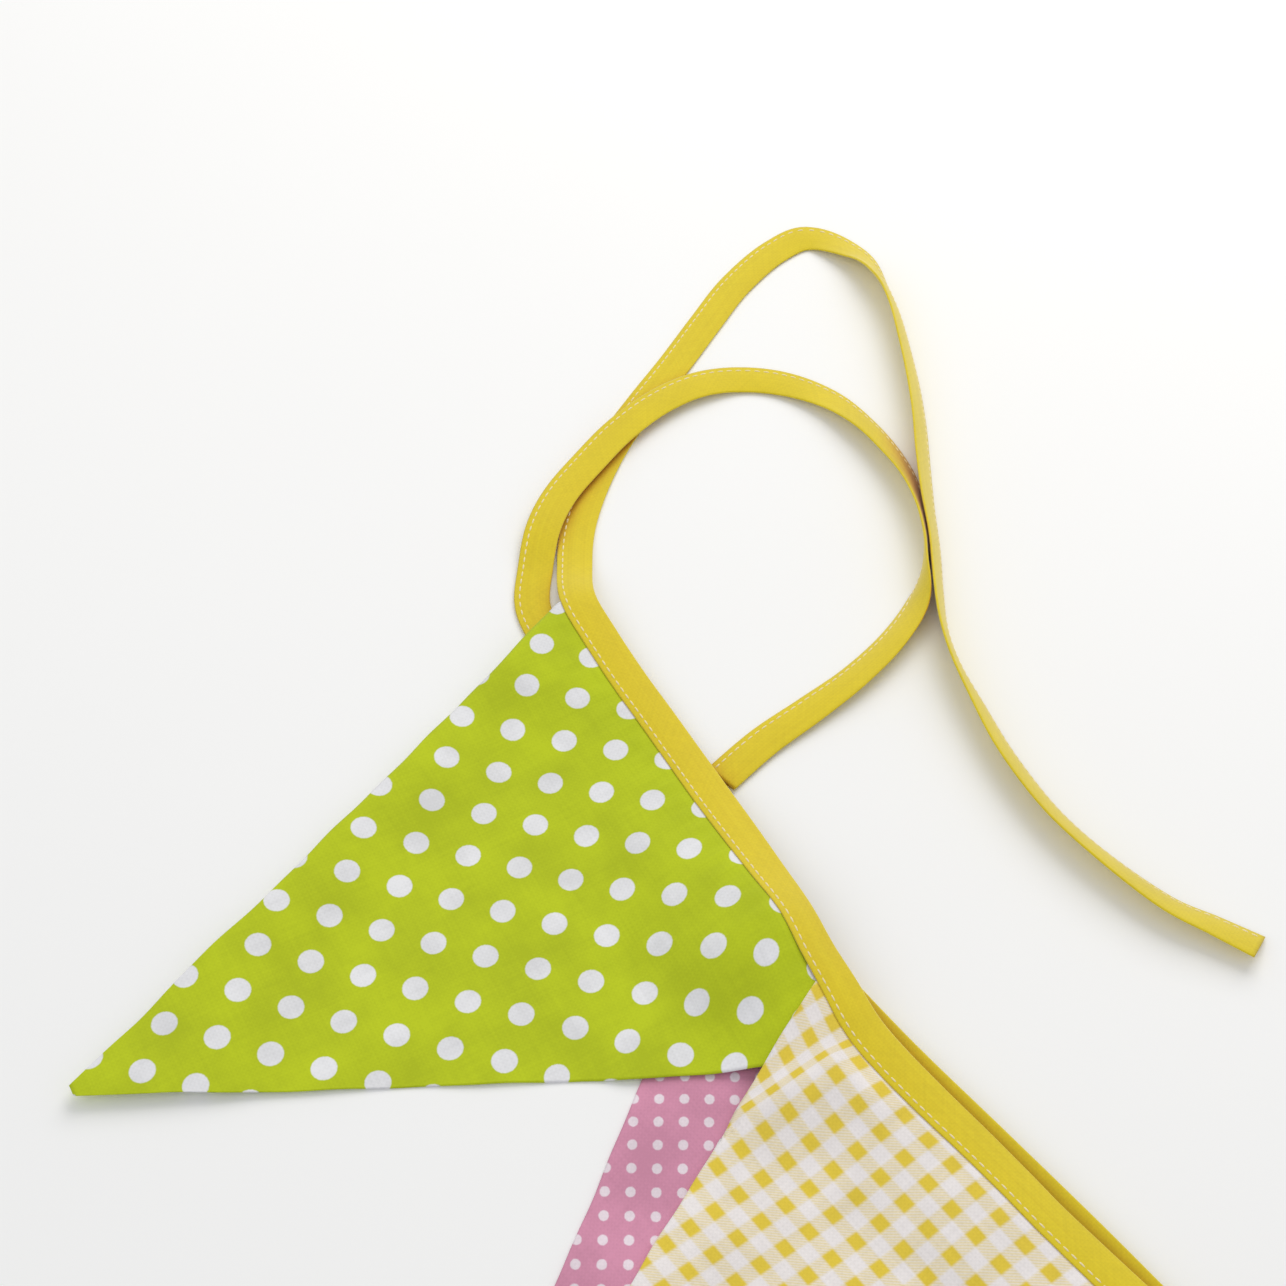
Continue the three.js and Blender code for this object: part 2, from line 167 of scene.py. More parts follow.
def smooth_run(rows, fold_side):
    """Catmull-Rom curve: between rows b and c each column is a cubic whose slopes there are half of
    c - a and half of d - b. Lengths are added up on the table. The folded edge of the tape lies
    to the left of the way along (fold_side 1) or to the right (-1)."""
    rows = np.array(rows, float)
    padded = np.vstack([rows[:1], rows, rows[-1:]])
    a, b, c, d = (padded[i : i + len(rows) - 1, None, :] for i in range(4))
    t = (np.arange(SAMPLES_PER_ROW) / SAMPLES_PER_ROW)[None, :, None]
    cube = (d - a) / 2 + 1.5 * (b - c)
    curve = b + t * ((c - a) / 2 + t * (a - 2.5 * b + 2 * c - d / 2 + t * cube))
    samples = np.vstack([curve.reshape(-1, rows.shape[1]), rows[-1:]])
    steps = np.hypot(*np.diff(samples[:, :2], axis=0).T)
    lengths = np.concatenate([[0], np.cumsum(steps)])
    return SimpleNamespace(samples=samples, lengths=lengths, length=lengths[-1], fold_side=fold_side)


def along_run(run, s):
    """x, y, lift and roll in radians at lengths s, straight between the samples."""
    x, y, lift, roll = (np.interp(s, run.lengths, column) for column in run.samples.T)
    return x, y, np.maximum(lift, 0), np.radians(roll)


over = smooth_run(TIE_OVER + HEADER_OVER, 1)
under = smooth_run(HEADER_UNDER + TIE_UNDER, -1)
print("upper run", round(over.length), "mm, lower run", round(under.length), "mm")

# %% [markdown]
# ## How the layers share the tape
# Real cotton is a few tenths of a millimetre thick. The tape opens a little around a pennant, and a
# little more where two pennants overlap inside it. Two plain strips pressed together would cut through the
# cloth between them. So the openings are smooth functions of the length, which keep the layers apart.

# %% Thicknesses, and where the pennants sit along the runs
CLOTH = 0.4
PLY = 0.34
# How far the turned-in edges inside the tape puff up each ply
BULGE = 0.45
CLEARANCE = 0.15
TAPE_WIDTH = 12.5
SEAM = 10.0
PENNANT_WIDTH = 206.0
PENNANT_DROP = 220.0
TIP_WIDTH = 4.0
OPENING_RAMP = 14.0
# The CAD sheets have 22 columns along a header, and the next pennant starts 3 of them early
HEADER_COLUMNS, OVERLAP_COLUMNS = 22, 3
OVERLAP = PENNANT_WIDTH * OVERLAP_COLUMNS / HEADER_COLUMNS
OVERLAP_RAMP = OVERLAP
LAYER_SHIFT = (CLOTH + CLEARANCE) / 2

green_start = over.lengths[(len(TIE_OVER) - 1) * SAMPLES_PER_ROW]
gingham_start = green_start + PENNANT_WIDTH - OVERLAP
pink_start = under.lengths[(len(HEADER_UNDER) - 1) * SAMPLES_PER_ROW] - PENNANT_WIDTH


def smoothstep(value, low, high):
    """0 below low, 1 above high, and 3t^2 - 2t^3 between them."""
    t = np.clip((value - low) / (high - low), 0, 1)
    return t * t * (3 - 2 * t)


def doubling(run, s):
    """1 where two pennants overlap in the tape, easing to 0 over a ramp on either side."""
    if run is not over:
        return np.zeros_like(s)
    end = green_start + PENNANT_WIDTH
    rise = smoothstep(s, gingham_start - OVERLAP_RAMP, gingham_start)
    return rise * (1 - smoothstep(s, end, end + OVERLAP_RAMP))


def half_gap(run, s):
    """Half of the opening between the plies: nearly closed on a tie, cloth plus clearance on a header."""
    start, end = (green_start, gingham_start) if run is over else (pink_start, pink_start)
    opened = smoothstep(s, start - OPENING_RAMP, start)
    opened = opened * (1 - smoothstep(s, end + PENNANT_WIDTH, end + PENNANT_WIDTH + OPENING_RAMP))
    closed = CLEARANCE / 2
    return closed + (CLOTH / 2 + CLEARANCE - closed) * opened + LAYER_SHIFT * doubling(run, s)


def tape_centre(run, s):
    """The lift plus the height at which a section of that roll just touches the table."""
    x, y, lift, roll = along_run(run, s)
    thickness = half_gap(run, s) + PLY + BULGE
    rest = TAPE_WIDTH / 2 * np.abs(np.sin(roll)) + thickness * np.abs(np.cos(roll))
    return np.stack([x, y, lift + rest], axis=-1)


def unit(vectors):
    """Vectors divided by their lengths."""
    return vectors / np.linalg.norm(vectors, axis=-1, keepdims=True)


def tape_frame(run, s):
    """Centre, way along, way to the fold, and normal. The level way to the fold is turned up
    about the way along by the roll, and the normal is their cross product."""
    nudge = 1.0
    along = unit(
        tape_centre(run, np.minimum(s + nudge, run.length)) - tape_centre(run, np.maximum(s - nudge, 0))
    )
    level = np.stack([-along[..., 1], along[..., 0], np.zeros_like(s)], axis=-1)
    level = unit(level) * run.fold_side
    upright = np.cross(along, level) * run.fold_side
    roll = along_run(run, s)[3][..., None]
    to_fold = level * np.cos(roll) + upright * np.sin(roll)
    return tape_centre(run, s), along, to_fold, np.cross(along, to_fold)


print("pennants start at", round(green_start), round(gingham_start), "on the upper run and",
      round(pink_start), "on the lower run")

# %% [markdown]
# ## The folded tape
# Bias tape is one strip of cloth folded lengthwise over the pennants' top edges. A solid bar would lose
# the open edge, so the strip is made as it is sewn: a hairpin line carried along the run, given its
# thickness by Solidify. The stitches pull the plies together a little, which shows as a shallow
# groove with a faint pucker at every stitch.

# %% Frames along the whole tape, with the half turn at its far end
TAPE_STEP = 1.5
STITCH_PITCH = 3.2
TURN_STATIONS = 12


def turn_frames():
    """A half circle about the tape's own width: centres at cos and sin of the angle, and the way
    along turned down by the same angle."""
    start = [part[0] for part in tape_frame(over, np.array([over.length]))]
    end = [part[0] for part in tape_frame(under, np.array([0.0]))]
    radius = (start[0][2] - end[0][2]) / 2
    angle = (np.pi * np.arange(1, TURN_STATIONS) / TURN_STATIONS)[:, None]
    up = np.array([0, 0, 1.0])
    along = start[1] * np.cos(angle) - up * np.sin(angle)
    centre = (start[0] + end[0]) / 2 + radius * (start[1] * np.sin(angle) + up * np.cos(angle))
    to_fold = np.broadcast_to(start[2], centre.shape)
    return centre, along, to_fold, np.cross(along, to_fold)


def whole_tape(step):
    """Frames and half gaps every step from one tie end to the other, and the length so far."""
    over_s = np.linspace(0, over.length, int(over.length / step))
    under_s = np.linspace(0, under.length, int(under.length / step))
    parts = zip(tape_frame(over, over_s), turn_frames(), tape_frame(under, under_s))
    centre, along, to_fold, normal = (np.concatenate(part) for part in parts)
    turn_gap = np.full(TURN_STATIONS - 1, CLEARANCE / 2)
    gap = np.concatenate([half_gap(over, over_s), turn_gap, half_gap(under, under_s)])
    run_length = np.concatenate([[0], np.cumsum(np.linalg.norm(np.diff(centre, axis=0), axis=1))])
    return SimpleNamespace(
        centre=centre, along=along, to_fold=to_fold, normal=normal, gap=gap, length=run_length
    )


tape = whole_tape(TAPE_STEP)
tape_length = tape.length[-1]
print("tape length", round(tape_length), "mm in", len(tape.length), "stations")

# %% A helper that turns a grid of points into a mesh
def cloth_surface(name, points, pattern):
    """Quads between neighbours of a rows x columns grid of millimetre points, with the flat pattern's
    millimetres as the UV map."""
    rows, columns = points.shape[:2]
    corner = (np.arange(rows - 1)[:, None] * columns + np.arange(columns - 1)).reshape(-1, 1)
    quads = corner + np.array([0, columns, columns + 1, 1])
    mesh = bpy.data.meshes.new(name)
    mesh.from_pydata(to_part(points).reshape(-1, 3), [], quads)
    mesh.polygons.foreach_set("use_smooth", np.ones(len(quads), bool))
    uv = mesh.uv_layers.new(name="pattern")
    uv.data.foreach_set("uv", pattern.reshape(-1, 2)[quads.reshape(-1)].astype("f").reshape(-1))
    piece = bpy.data.objects.new(name, mesh)
    scene.collection.objects.link(piece)
    print(name, len(quads), "faces")
    return piece


def thicken(piece, thickness):
    """Solidify to both sides of the middle surface."""
    solidify = piece.modifiers.new("thickness", "SOLIDIFY")
    solidify.thickness = thickness * MM
    solidify.offset = 0


# %% The hairpin section, carried along the tape
STITCH_INSET = 2.0
PLY_COLUMNS = 11
FOLD_COLUMNS = 7
# Columns crowd towards the open edge by this power
CROWDING = 1.4
# The lips turn in by a depth, or by a share of the opening where that is less
LIP_DEPTH, LIP_SHARE, LIP_REACH = 0.14, 0.4, 0.6
GROOVE_DEPTH, GROOVE_REACH = 0.10, 0.9
RIPPLE_MEAN, RIPPLE_SWING = 0.55, 0.45


def hairpin(tape):
    """Across and up for every station: a ply, a half circle at the fold, and the other ply back. The
    turned-in edges inside puff each ply up by half a sine wave. The lips turn in, and the stitch
    groove is a bell curve across with a ripple along."""
    share = np.concatenate([np.linspace(0, 1, PLY_COLUMNS) ** CROWDING, np.ones(FOLD_COLUMNS)])
    share = np.concatenate([share, share[:PLY_COLUMNS][::-1]])
    angle = np.concatenate([
        np.full(PLY_COLUMNS, np.pi / 2),
        np.linspace(np.pi / 2, -np.pi / 2, FOLD_COLUMNS + 2)[1:-1],
        np.full(PLY_COLUMNS, -np.pi / 2),
    ])
    middle = (tape.gap + PLY / 2)[:, None]
    across = share * (TAPE_WIDTH - middle) + middle * np.cos(angle)
    lip = np.minimum(LIP_DEPTH, LIP_SHARE * tape.gap)[:, None] * np.exp(-((across / LIP_REACH) ** 2))
    ripple = RIPPLE_MEAN + RIPPLE_SWING * np.cos(2 * np.pi * tape.length[:, None] / STITCH_PITCH)
    groove = GROOVE_DEPTH * ripple * np.exp(-(((across - STITCH_INSET) / GROOVE_REACH) ** 2))
    bulge = BULGE * np.sin(np.pi * across / TAPE_WIDTH)
    return across, (middle + bulge - lip - groove) * np.sin(angle)


across, up = hairpin(tape)
tape_points = (
    tape.centre[:, None]
    + tape.to_fold[:, None] * (across - TAPE_WIDTH / 2)[..., None]
    + tape.normal[:, None] * up[..., None]
)
strip = np.concatenate([[0], np.cumsum(np.hypot(np.diff(across[0]), np.diff(up[0])))])
tape_pattern = np.stack(np.broadcast_arrays(tape.length[:, None], strip), axis=-1)
binding = cloth_surface("binding_tape_cloth", tape_points, tape_pattern)
thicken(binding, PLY)

# %% [markdown]
# ## The stitching
# A sewing machine leaves one row of short threads on each side of the tape, close to its open edge. A
# texture could draw them, but raised threads catch the light at their ends as the real ones do.
# One small pod is repeated at every stitch, all of them worked out in one array.

# %% Pods of thread on both faces of the tape
STITCH_LENGTH = 2.8
THREAD_RADIUS = 0.32
TABLE_CLEAR = 0.02
POD_RINGS = 5
POD_SIDES = 6
POD_BLUNTNESS = 0.02
END_SINK = 0.16
THREAD_SINK = 0.04


def thread_pods(tape, side):
    """Pod radius sqrt(1 - x^2) along the stitch, a little blunter at its ends, which sink into the
    cloth by x^2. A thread under the tape is pressed flat where it would reach below the table."""
    places = np.arange(STITCH_PITCH, tape_length - STITCH_PITCH, STITCH_PITCH)
    centre, along, to_fold, normal, gap = (
        np.stack([np.interp(places, tape.length, column) for column in table.T], axis=-1)[:, None, None]
        for table in (tape.centre, tape.along, tape.to_fold, tape.normal, tape.gap[:, None])
    )
    x = np.linspace(-1, 1, POD_RINGS)
    turn = np.linspace(0, 2 * np.pi, POD_SIDES, endpoint=False)
    radius = THREAD_RADIUS * np.sqrt(1 + POD_BLUNTNESS - x**2)[:, None]
    forward = np.broadcast_to((x * STITCH_LENGTH / 2)[:, None], (POD_RINGS, POD_SIDES))
    sideways = radius * np.cos(turn)
    raised = radius * np.sin(turn) - END_SINK * (x**2)[:, None]
    puffed = BULGE * np.sin(np.pi * STITCH_INSET / TAPE_WIDTH)
    surface = gap + (PLY + puffed - THREAD_SINK + raised)[..., None]
    inward = sideways + STITCH_INSET - TAPE_WIDTH / 2
    points = centre + along * forward[..., None] + to_fold * inward[..., None] + normal * side * surface
    points[..., 2] = np.maximum(points[..., 2], TABLE_CLEAR)
    return points


pods = np.concatenate([thread_pods(tape, 1), thread_pods(tape, -1)])
ring, step = np.meshgrid(np.arange(POD_RINGS - 1), np.arange(POD_SIDES), indexing="ij")
after = (step + 1) % POD_SIDES
pod_quads = np.stack([
    ring * POD_SIDES + step, ring * POD_SIDES + after,
    (ring + 1) * POD_SIDES + after, (ring + 1) * POD_SIDES + step,
], axis=-1).reshape(-1, 4)
starts = np.arange(len(pods))[:, None, None] * POD_RINGS * POD_SIDES
stitch_mesh = bpy.data.meshes.new("stitching")
stitch_mesh.from_pydata(to_part(pods).reshape(-1, 3), [], (starts + pod_quads).reshape(-1, 4))
stitch_mesh.polygons.foreach_set("use_smooth", np.ones(len(stitch_mesh.polygons), bool))
stitching = bpy.data.objects.new("stitching", stitch_mesh)
scene.collection.objects.link(stitching)
print("stitches:", len(pods), "with", len(stitch_mesh.polygons), "faces")

# %% [markdown]
# ## The pennants
# All three are cut to one triangle. A cloth simulation would drape them, but it would not land on
# the folds in the photograph. So each pennant is a height over its flat pattern: held up by the tape at its
# header, easing down to the table or to the pennant below, with its own folds, soft waves and
# seam puckers added.

# %% Where a point of the pattern lies on the table
LOCATE_STEPS = 8


def pattern_sides(pennant, down):
    """Left and right edge at a distance below the tape: straight lines to the blunt tip."""
    share = np.maximum(down, 0) / PENNANT_DROP
    left = (pennant.apex - TIP_WIDTH / 2) * share
    right = PENNANT_WIDTH + (pennant.apex + TIP_WIDTH / 2 - PENNANT_WIDTH) * share
    return left, right


def run_length(pennant, along):
    """Length of the run at a place along the header; the pink pennant is met from its right end."""
    return pennant.start + (PENNANT_WIDTH - along if pennant.reversed else along)


def tape_point(pennant, along, inward):
    """Centre of the tape, moved across it to a distance from its open edge, and off its middle
    where two pennants share the tape."""
    s = run_length(pennant, along)
    centre, _, to_fold, normal = tape_frame(pennant.run, s)
    shift = pennant.run.fold_side * pennant.layer * LAYER_SHIFT * doubling(pennant.run, s)
    return centre + to_fold * (inward - TAPE_WIDTH / 2)[..., None] + normal * shift[..., None]


def plan_point(pennant, along, down):
    """Up between the plies for negative down, else straight away from the open edge."""
    point = tape_point(pennant, along, np.maximum(-down, 0))
    return point + np.maximum(down, 0)[..., None] * np.array([*pennant.down, 0.0])


def locate(pennant, x, y):
    """Pattern place under a point of the table: step along the header by the share of the miss that
    lies along it, a few times over, as the header is nearly straight."""
    down_x, down_y = pennant.down
    along = np.full(x.shape, PENNANT_WIDTH / 2)
    for _ in range(LOCATE_STEPS):
        edge = tape_point(pennant, along, np.zeros_like(along))
        way = tape_frame(pennant.run, run_length(pennant, along))[1] * (-1 if pennant.reversed else 1)
        area = way[..., 0] * down_y - way[..., 1] * down_x
        miss_x, miss_y = x - edge[..., 0], y - edge[..., 1]
        along = along + (miss_x * down_y - miss_y * down_x) / area
        down = (way[..., 0] * miss_y - way[..., 1] * miss_x) / area
    return along, down


# %% The height of a pennant over the table
STACK_HEIGHT = 1.0
STACK_EASE = 12
STACK_ROUNDING = 1.2
RISE_START, RISE_END = -14.0, -2.0
FOLD_EASE = 10
WAVES = 7
WAVE_PITCH = (20, 60)
WAVE_STEEPNESS = 0.004
WAVE_FADE = (4, 30)
PUCKER_HEIGHT, PUCKER_PITCH, PUCKER_REACH, PUCKER_EASE = 0.22, 7.5, 8, 2.5
# Puckers come unevenly: their phase drifts back and forth along the header
DRIFT, DRIFT_REACH, DRIFT_PHASE = 1.6, 23, 6


def inside_distance(pennant, along, down):
    """Least distance to the pattern's edges, negative outside."""
    left, right = pattern_sides(pennant, down)
    slant = PENNANT_DROP / np.hypot(PENNANT_DROP, PENNANT_WIDTH / 2)
    return np.minimum(np.minimum(along - left, right - along) * slant, PENNANT_DROP - down)


def fold_height(folds, along, down):
    """Sum of crests: height times exp(-(distance to the crest line / reach)^2)."""
    height = np.zeros_like(along)
    for from_along, from_down, to_along, to_down, crest, before, beyond in folds:
        span_a, span_d = to_along - from_along, to_down - from_down
        t = (along - from_along) * span_a + (down - from_down) * span_d
        t = np.clip(t / (span_a**2 + span_d**2), 0, 1)
        off_a, off_d = along - from_along - t * span_a, down - from_down - t * span_d
        reach = np.where(off_a < 0, before, beyond)
        height = height + crest * np.exp(-(off_a**2 + off_d**2) / reach**2)
    return height * smoothstep(down, 0, FOLD_EASE)


def soft_waves(pennant, along, down):
    """Slow ripples of cloth that has been folded and smoothed out: a few sines of random direction
    and pitch, and seam puckers, a sine along the header that dies away exponentially below it."""
    rng = np.random.default_rng(pennant.seed)
    height = np.zeros_like(along)
    for _ in range(WAVES):
        way, phase = rng.uniform(0, np.pi), rng.uniform(0, 2 * np.pi)
        pitch = rng.uniform(*WAVE_PITCH)
        across = along * np.cos(way) + down * np.sin(way)
        height = height + WAVE_STEEPNESS * pitch * (1 + np.sin(2 * np.pi * across / pitch + phase)) / 2
    drift = DRIFT * np.sin(along / DRIFT_REACH + rng.uniform(0, DRIFT_PHASE))
    swing = 1 + np.sin(2 * np.pi * along / PUCKER_PITCH + drift)
    pucker = PUCKER_HEIGHT * np.exp(-down / PUCKER_REACH) * swing
    return height * smoothstep(down, *WAVE_FADE) + pucker * smoothstep(down, 0, PUCKER_EASE)


def cloth_height(pennant, along, down):
    """Cosine ease from the tape's height to the table, plus folds and waves; over a lower pennant, the
    rounded maximum of that and the lower pennant's height plus a stack distance."""
    held = tape_point(pennant, along, np.maximum(-down, 0))[..., 2]
    place = plan_point(pennant, along, down)
    hold = (1 + np.cos(np.pi * np.clip(down / pennant.reach, 0, 1))) / 2
    height = CLOTH / 2 * (1 - hold) + held * hold
    height = height + fold_height(pennant.folds, along, down) + soft_waves(pennant, along, down)
    for lower in pennant.lies_on:
        low_along, low_down = locate(lower, place[..., 0], place[..., 1])
        weight = smoothstep(inside_distance(lower, low_along, low_down), RISE_START, RISE_END)
        eased = smoothstep(down, 0, STACK_EASE)
        clear = CLOTH + CLEARANCE + (STACK_HEIGHT - CLOTH - CLEARANCE) * eased
        ground = cloth_height(lower, low_along, low_down) + clear
        rounded = (height + ground + np.hypot(height - ground, STACK_ROUNDING * eased)) / 2
        height = height + (rounded - height) * weight
    return np.where(down <= 0, held, height)


# %% The three pennants and their folds
# Fold rows: along and down at both ends of the crest, height, reach before and beyond it
GREEN_FOLDS = [(14, 34, 66, 160, 4, 22, 22), (94, 196, 94, 222, 4, 40, 40)]
GINGHAM_FOLDS = [(26.5, 4, 20.5, 40, 4, 6, 16)]
# Cloth taken up by a crease: its place along, how it leans on the way down, and the length taken up
NO_GATHER = (0, 0, 0)
CREASE_GATHER = (22.5, -0.16, 7)
GATHER_SPREAD = 4.5
pink = SimpleNamespace(
    run=under, start=pink_start, reversed=True, layer=0, down=(-0.725, -0.688), apex=116,
    reach=24, folds=[], lies_on=[], gather=NO_GATHER, seed=3,
)
green = SimpleNamespace(
    run=over, start=green_start, reversed=False, layer=-1, down=(-0.875, -0.493), apex=95,
    reach=50, folds=GREEN_FOLDS, lies_on=[pink], gather=NO_GATHER, seed=5,
)
gingham = SimpleNamespace(
    run=over, start=gingham_start, reversed=False, layer=1, down=(-0.783, -0.622), apex=88,
    reach=50, folds=GINGHAM_FOLDS, lies_on=[pink, green], gather=CREASE_GATHER, seed=8,
)
print("layers in the tape: pink", pink.layer, "green", green.layer, "gingham", gingham.layer)

# %% The cloth of a pennant
CLOTH_ROWS, CLOTH_COLUMNS = 158, 140
# How far the scissors stray, slowly and quickly, and the lengths over which they do
STRAY_SLOW, STRAY_SLOW_REACH = 0.25, 9
STRAY_QUICK, STRAY_QUICK_REACH = 0.15, 3.7
STRAY_START = (2, 20)
STRAY_END = (190, 215)
STRAY_ACROSS = 1.6


def cloth_along(pennant, along, down):
    """Cloth measured along the header: a crease takes up some of it, so before the crease's steep
    side the cloth's count lags behind the plan's."""
    place, lean, taken_up = pennant.gather
    past = smoothstep(along - lean * down, place - GATHER_SPREAD, place + GATHER_SPREAD)
    return along - taken_up * (1 - past)


def pennant_cloth(name, pennant):
    """Rows from the seam to the tip, columns from edge to edge with a slightly uneven cut."""
    down = np.linspace(-SEAM, PENNANT_DROP, CLOTH_ROWS)[:, None]
    share = np.linspace(0, 1, CLOTH_COLUMNS)[None, :]
    left, right = pattern_sides(pennant, down)
    uneven = STRAY_SLOW * np.sin(down / STRAY_SLOW_REACH + pennant.seed)
    uneven = uneven + STRAY_QUICK * np.sin(down / STRAY_QUICK_REACH)
    uneven = uneven * smoothstep(down, *STRAY_START) * (1 - smoothstep(down, *STRAY_END))
    along = (left + uneven) + (right - left - STRAY_ACROSS * uneven) * share
    down = np.broadcast_to(down, along.shape)
    points = plan_point(pennant, along, down)
    points[..., 2] = cloth_height(pennant, along, down)
    piece = cloth_surface(name, points, np.stack([cloth_along(pennant, along, down), down], axis=-1))
    thicken(piece, CLOTH)
    return piece


pink_cloth = pennant_cloth("pink_dot_pennant", pink)
green_cloth = pennant_cloth("green_dot_pennant", green)
gingham_cloth = pennant_cloth("gingham_pennant", gingham)

# %% [markdown]
# ## Cotton
# All the cloths are plain-weave cotton: matte, with a soft sheen at a low angle. A photographed swatch
# could be laid on them, but it would repeat and blur close up. So the weave is a formula of the
# thread spacing, faint, with slubs that run along the threads. The patterns read the UV map, which
# holds the flat pattern's millimetres, so they bend with the cloth.

# %% A helper that adds a node with its settings and links
# A Mix node has sockets for every kind of value: these are its two colours and the mixed one
FIRST_COLOUR, SECOND_COLOUR, MIXED_COLOUR = 6, 7, 2
# A Map Range node on vectors: the ends of the range it reads
LOW_VECTOR, HIGH_VECTOR = 7, 8


def add_node(tree, kind, inputs=None, **settings):
    """New node: settings go to its properties, and inputs to its sockets, as a link or a value."""
    node = tree.nodes.new("ShaderNode" + kind)
    for name, value in settings.items():
        setattr(node, name, value)
    for key, value in (inputs or {}).items():
        if isinstance(value, bpy.types.NodeSocket):
            tree.links.new(value, node.inputs[key])
        else:
            node.inputs[key].default_value = value
    return node


def new_cotton(name, roughness, sheen):
    """An empty cotton material: its tree, its shader, and the pattern's millimetres."""
    material = bpy.data.materials.new(name)
    material.use_nodes = True
    tree = material.node_tree
    shader = tree.nodes["Principled BSDF"]
    shader.inputs["Roughness"].default_value = roughness
    shader.inputs["Specular IOR Level"].default_value = 0.25
    shader.inputs["Sheen Weight"].default_value = sheen
    shader.inputs["Sheen Roughness"].default_value = 0.5
    pattern = add_node(tree, "UVMap", uv_map="pattern").outputs["UV"]
    return material, tree, shader, pattern


# %% The weave that all the cottons share
# Real threads lie about 0.4 mm apart. That is finer than a pixel, so they are drawn twice as coarse.
THREAD_SPACING = 0.8
WEAVE_DEPTH = 0.12
WEAVE_SHARE = 0.16
# Slubs per millimetre across and along a thread
SLUBS_ACROSS, SLUBS_ALONG = 1.1, 0.07
CLOUD_SIZE = 22.0
SHADE_RANGE = 0.65
DARKEST, LIGHTEST = 0.9, 1.1


def weave(tree, pattern, turn, strength, cloudiness):
    """Height and shade of a plain weave: the product of two sines, one per thread direction, and
    two stretched noises for slubs along the threads. The shade is partly painted shade, darker where
    that height is low, and partly a soft cloud of uneven dye."""
    turned = add_node(tree, "Mapping", {"Vector": pattern, "Rotation": (0, 0, turn)}).outputs[0]
    angle = add_node(tree, "VectorMath", {0: turned, "Scale": np.pi / THREAD_SPACING}, operation="SCALE")
    waves = add_node(tree, "VectorMath", {0: angle.outputs[0]}, operation="SINE")
    parts = add_node(tree, "SeparateXYZ", {0: waves.outputs[0]})
    check = add_node(tree, "Math", {0: parts.outputs[0], 1: parts.outputs[1]}, operation="MULTIPLY")
    slubs = []
    for scale in ((SLUBS_ACROSS, SLUBS_ALONG, 1), (SLUBS_ALONG, SLUBS_ACROSS, 1)):
        spread = add_node(tree, "Mapping", {"Vector": turned, "Scale": scale})
        noise = add_node(tree, "TexNoise", {"Vector": spread.outputs[0], "Scale": 1.0, "Detail": 3.0})
        slubs.append(noise.outputs["Fac"])
    slub = add_node(tree, "Math", {0: slubs[0], 1: slubs[1]}, operation="ADD").outputs[0]
    height = add_node(
        tree, "Math", {0: check.outputs[0], 1: WEAVE_SHARE, 2: slub}, operation="MULTIPLY_ADD"
    )
    bump = add_node(tree, "Bump", {
        "Height": height.outputs[0], "Strength": strength, "Distance": WEAVE_DEPTH * MM,
    })
    cloud = add_node(tree, "TexNoise", {"Vector": turned, "Scale": 1 / CLOUD_SIZE, "Detail": 3.0})
    # Partly painted shade: a low weave height darkens the colour; the cloud is uneven dye
    tone = add_node(tree, "Math", {
        0: cloud.outputs["Fac"], 1: cloudiness, 2: height.outputs[0],
    }, operation="MULTIPLY_ADD")
    middle = 1 + cloudiness / 2
    shade = add_node(tree, "MapRange", {
        "Value": tone.outputs[0], "From Min": middle - SHADE_RANGE, "From Max": middle + SHADE_RANGE,
        "To Min": DARKEST, "To Max": LIGHTEST,
    })
    return bump.outputs[0], shade.outputs[0]


def finish_cotton(tree, shader, colour, bump, shade):
    """The pattern's colour times the weave's shade, and the weave's bump."""
    dyed = add_node(tree, "Mix", {
        "Factor": 1.0, FIRST_COLOUR: colour, SECOND_COLOUR: shade,
    }, data_type="RGBA", blend_type="MULTIPLY")
    tree.links.new(dyed.outputs[MIXED_COLOUR], shader.inputs["Base Color"])
    tree.links.new(bump, shader.inputs["Normal"])


# %% [markdown]
# ## Printed dots
# The green and the pink cotton are printed with white dots on a slanting square grid. An image of the
# print would do, but dots worked out from their pitch stay sharp at any distance. A little noise added to
# the distance keeps their rims from being perfect circles, as dye bleeds along the threads.

# %% Printed dots
BLEED = 0.35
BLEEDS_PER_MM = 1.3
# Noise averages a half, so about half of the bleed is given back to the radius
BLEED_MEAN = 0.17
RIM_BLUR = 0.2
MIDDLE_OF_CELL = (0.5, 0.5, 0)


